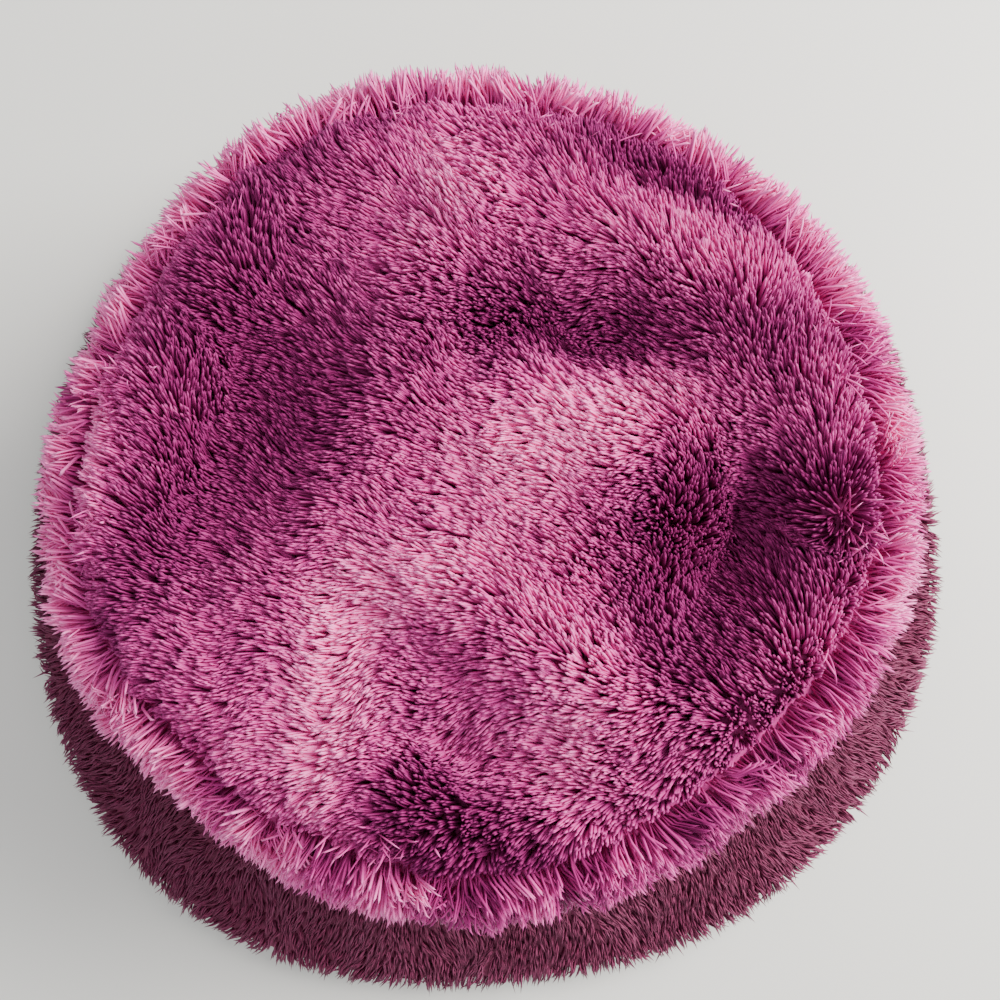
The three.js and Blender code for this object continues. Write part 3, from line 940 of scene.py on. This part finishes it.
class HAT_OT_linings(bpy.types.Operator):
    """Makes the satin linings: the tip's hangs from its seam, and the sides' are a little puckered"""

    bl_idname = "hat.linings"
    bl_label = "Linings"

    def execute(self, context):
        # the tip lining's edge is turned in and sewn inside the side linings
        turned_in = [(88.3, 89.4), (87.6, 90.7), (86.2, 92.0), (84.4, 93.1)]
        tip = turned_cloth("tip_lining_cloth", turned_in + meridian(TIP_LINE, 0.11, 1, 26, -4.6), 96)
        slump(tip, True)
        self.hang(context, tip)
        self.sew(tip, "tip_lining", (0.190, 0.190), 0.0276, "tip_seam_stitches")
        whole = turned_cloth("side_lining_whole", meridian(SIDE_LINE, 0.02, 0.94, 18, -2.6), 240)
        for place, half in halves(whole, "side_lining_{}_cloth"):
            self.pucker(half)
            self.sew(half, f"side_lining_{place}", (0.3, 0.062), None, "sweatband_ribbon")
        return {"FINISHED"}

    def hang(self, context, cloth):
        """Lets the tip's lining, cut a little larger than the tip, hang from its rim under the plush."""
        group = cloth.vertex_groups.new(name="sewn")
        rim = [v.index for v in cloth.data.vertices if math.hypot(v.co.x, v.co.y) > 0.081]
        group.add(rim, 1.0, "REPLACE")
        above = bpy.data.objects["tip_backing"]
        facing_out(above, INSIDE_CROWN, False)
        solid = above.modifiers.new("Solid", "COLLISION")
        above.collision.thickness_outer = 0.0012
        sim = cloth.modifiers.new("Satin", "CLOTH")
        sim.settings.quality = 6
        sim.settings.mass = 0.12
        sim.settings.tension_stiffness = sim.settings.compression_stiffness = 20
        sim.settings.bending_stiffness = 0.08
        sim.settings.vertex_group_mass = group.name
        sim.settings.shrink_min = -0.012
        sim.collision_settings.distance_min = 0.001
        sim.point_cache.frame_start, sim.point_cache.frame_end = 1, HANGING_FRAMES
        for frame_number in range(1, HANGING_FRAMES + 1):
            context.scene.frame_set(frame_number)
        select_only(cloth)
        bpy.ops.object.modifier_apply(modifier=sim.name)
        above.modifiers.remove(solid)
        facing_out(above, INSIDE_CROWN)
        context.scene.frame_set(1)

    def pucker(self, obj):
        """The lining is gathered a little where it is sewn, so it stands in low folds."""
        for v in obj.data.vertices:
            x, y, z = (c / MM for c in v.co)
            turn = math.atan2(y, x)
            fold = 0.5 + 0.5 * float(ripples(turn * SIDE_RADIUS, z * 0.2, 13, 61))
            inward = 0.9 * max(0.0, fold) * MM
            v.co.x -= inward * math.cos(turn)
            v.co.y -= inward * math.sin(turn)
        obj.data.update()

    def sew(self, obj, replaced, flat, area, rests):
        facing_out(obj, INSIDE_CROWN, False)
        thicken(obj, SATIN)
        finished(obj, made_of(satin_material), "lining", replaced)


class HAT_OT_sweatband(bpy.types.Operator):
    """Makes the ribbed ribbon round the head opening"""

    bl_idname = "hat.sweatband"
    bl_label = "Sweatband"

    def execute(self, context):
        low, high = RIBBON_LOW.z / MM, RIBBON_HIGH.z / MM
        rises = (0, 0.5, 1.2, 4, 11, 19, 21.8, 22.5, RIBBON_WIDTH)
        rings = [(91.4, low + rise * (high - low) / RIBBON_WIDTH) for rise in rises]
        ribbon = turned_cloth("sweatband_ribbon", rings, 2 * RIBS)
        for v in ribbon.data.vertices:
            turn = math.atan2(v.co.y, v.co.x)
            near = min(v.co.z / MM - low, high - v.co.z / MM)
            edge = 0.16 * math.exp(-((near - 0.6) ** 2) / 0.2)
            rib = 0.09 * math.cos(RIBS * turn) * float(smooth(near, 0.6, 1.6))
            bow = 0.05 * math.sin(5 * turn + 0.6) + 0.03 * math.sin(11 * turn)
            radius = (91.55 - edge - rib + bow) * MM
            v.co.x, v.co.y = radius * math.cos(turn), radius * math.sin(turn)
        facing_out(ribbon, INSIDE_CROWN, False)
        thicken(ribbon, RIBBON)
        finished(ribbon, made_of(ribbon_material), "ribbon", "sweatband")
        return {"FINISHED"}


class HAT_OT_labels(bpy.types.Operator):
    """Makes the care label and the size tab, both blank"""

    bl_idname = "hat.labels"
    bl_label = "Labels"

    def execute(self, context):
        self.label("care_label", 22, 32, 51, 6, 2.2, 0.35)
        self.label("size_tab", 12, 14, 51, -12, 1.0, 0.5)
        return {"FINISHED"}

    def label(self, replaced, width, height, low, turn, curl, thickness):
        """A tape standing on the ribbon's upper edge, its free end curling away from the lining."""
        bpy.ops.object.select_all(action="DESELECT")
        bpy.ops.mesh.primitive_grid_add(x_subdivisions=width, y_subdivisions=height, size=1)
        obj = bpy.context.object
        obj.name = obj.data.name = f"{replaced}_tape"
        edit_all()
        bpy.ops.transform.resize(value=(width * MM, height * MM, 1), center_override=(0, 0, 0))
        bpy.ops.transform.rotate(value=math.pi / 2, orient_axis="X", center_override=(0, 0, 0))
        bpy.ops.object.mode_set(mode="OBJECT")
        way = math.radians(turn)
        for v in obj.data.vertices:
            x, z = v.co.x / MM, abs(v.co.z / MM + height / 2)
            rise = z / height
            y = 89.6 - curl * rise**2 * (1 + 0.4 * math.sin(x * 0.25 + 1)) - 0.004 * x * x
            z += low
            across = x * math.cos(way) - y * math.sin(way)
            v.co = Vector((across, x * math.sin(way) + y * math.cos(way), z)) * MM
        obj.data.update()
        facing_out(obj, INSIDE_CROWN, False)
        thicken(obj, thickness)
        finished(obj, made_of(label_material), "label", replaced)


class HAT_OT_interlining(bpy.types.Operator):
    """Makes the two halves of the brim's stiff interlining"""

    bl_idname = "hat.interlining"
    bl_label = "Interlining"

    def execute(self, context):
        whole = turned_cloth("interlining_whole", meridian(BRIM_LINE, 0.26, 0.9, 12, FELT / 2), 96)
        for place, half in halves(whole, "interlining_{}_felt"):
            facing_out(half, FAR_BELOW)
            thicken(half, FELT)
            finished(half, made_of(interlining_material), "interlining", f"brim_interlining_{place}")
        return {"FINISHED"}


class HAT_OT_stitches(bpy.types.Operator):
    """Sews the seams: rows of single stitches in place of each thread"""

    bl_idname = "hat.stitches"
    bl_label = "Stitches"

    def execute(self, context):
        stitch = self.template()
        rings = (("tip_seam", 87, 95.6, 0.35), ("brim_edge", 141.2, 7.8, 0.35))
        rings += (("brim_join", 95.4, 32.2, 0.35), ("sweatband", 90.6, 30, 0.22))
        for word, radius, height, half_width in rings:
            count = int(radius * 2 * math.pi / STITCH_PITCH)
            turns = np.linspace(0, 2 * math.pi, count, endpoint=False)
            ways = np.stack((-np.sin(turns), np.cos(turns), 0 * turns), 1)
            places = np.stack((radius * np.cos(turns), radius * np.sin(turns), 0 * turns + height), 1)
            places[:, :2] *= out_of_round(*places.T)[:, None]
            self.sew(stitch, f"{word}_stitches", places, ways, half_width, f"{word}_thread")
        for word, line, depth, start, end, half_width in (
            ("crown_seam", SIDE_LINE, 0.6, 0.06, 0.96, 0.35),
            ("brim_upper_seam", BRIM_LINE, BRIM_GAP, BRIM_EDGE, 0.94, 0.35),
            ("brim_under_seam", BRIM_LINE, -BRIM_GAP, BRIM_EDGE, 0.94, 0.35),
            ("lining_seam", SIDE_LINE, -3.3, 0.06, 0.8, 0.22),
        ):
            for hand, side in (("left", -1), ("right", 1)):
                points = np.array(meridian(line, start, end, 18, depth))
                places = np.stack((side * points[:, 0], 0 * points[:, 0], points[:, 1]), 1)
                places[:, :2] *= out_of_round(*places.T)[:, None]
                ways = np.gradient(places, axis=0)
                ways /= np.linalg.norm(ways, axis=1, keepdims=True)
                name, replaced = f"{word}_{hand}_stitches", f"{word}_thread_{hand}"
                self.sew(stitch, name, places, ways, half_width, replaced)
        return {"FINISHED"}

    def template(self):
        """One stitch, before it is drawn out: a small sphere with its poles on X."""
        bpy.ops.object.select_all(action="DESELECT")
        bpy.ops.mesh.primitive_uv_sphere_add(segments=6, ring_count=4, radius=1)
        obj = bpy.context.object
        edit_all()
        bpy.ops.transform.rotate(value=math.pi / 2, orient_axis="Y", center_override=(0, 0, 0))
        bpy.ops.mesh.quads_convert_to_tris()
        bpy.ops.object.mode_set(mode="OBJECT")
        points = np.array([v.co[:] for v in obj.data.vertices])
        triangles = np.array([p.vertices[:] for p in obj.data.polygons])
        bpy.data.objects.remove(obj)
        return points, triangles

    def sew(self, stitch, name, places, ways, half_width, replaced):
        """A row of stitches at places in millimetres, each along its way."""
        points, triangles = stitch
        side = np.cross((0.0, 0.0, 1.0), ways)
        side[np.linalg.norm(side, axis=1) < 1e-6] = (0, 1, 0)
        side /= np.linalg.norm(side, axis=1, keepdims=True)
        up = np.cross(ways, side)
        x, y, z = (points[:, i][None, :, None] for i in range(3))
        across = (y * side[:, None] + z * up[:, None]) * half_width
        co = (places[:, None] + x * ways[:, None] * HALF_STITCH + across) * MM
        mesh = bpy.data.meshes.new(name)
        faces = (triangles[None] + (np.arange(len(places)) * len(points))[:, None, None]).reshape(-1, 3)
        mesh.from_pydata(co.reshape(-1, 3).tolist(), [], faces.tolist())
        obj = bpy.data.objects.new(name, mesh)
        bpy.context.scene.collection.objects.link(obj)
        finished(obj, made_of(thread_material), "thread", replaced)


class HAT_PT_panel(bpy.types.Panel):
    bl_label = "Plush bucket hat"
    bl_idname = "HAT_PT_panel"
    bl_space_type = "VIEW_3D"
    bl_region_type = "UI"
    bl_category = "Hat"

    def draw(self, context):
        for group in (context.scene.hat_pile, context.scene.hat_light):
            for name in group.__annotations__:
                self.layout.prop(group, name)
        for step in STEPS:
            self.layout.operator(step.bl_idname)


STEPS = (
    HAT_OT_stage,
    HAT_OT_backings,
    HAT_OT_crown_pile,
    HAT_OT_brim_pile,
    HAT_OT_linings,
    HAT_OT_stitches,
    HAT_OT_plush,
    HAT_OT_interlining,
    HAT_OT_sweatband,
    HAT_OT_labels,
)
CLASSES = (HatPile, HatLight, *STEPS, HAT_PT_panel)


def register():
    for found in CLASSES:
        bpy.utils.register_class(found)
    bpy.types.Scene.hat_pile = bpy.props.PointerProperty(type=HatPile)
    bpy.types.Scene.hat_light = bpy.props.PointerProperty(type=HatLight)


def unregister():
    del bpy.types.Scene.hat_light
    del bpy.types.Scene.hat_pile
    for found in reversed(CLASSES):
        bpy.utils.unregister_class(found)


def main():
    register()
    for step in STEPS:
        area, name = step.bl_idname.split(".")
        getattr(getattr(bpy.ops, area), name)()


if __name__ == "__main__":
    main()
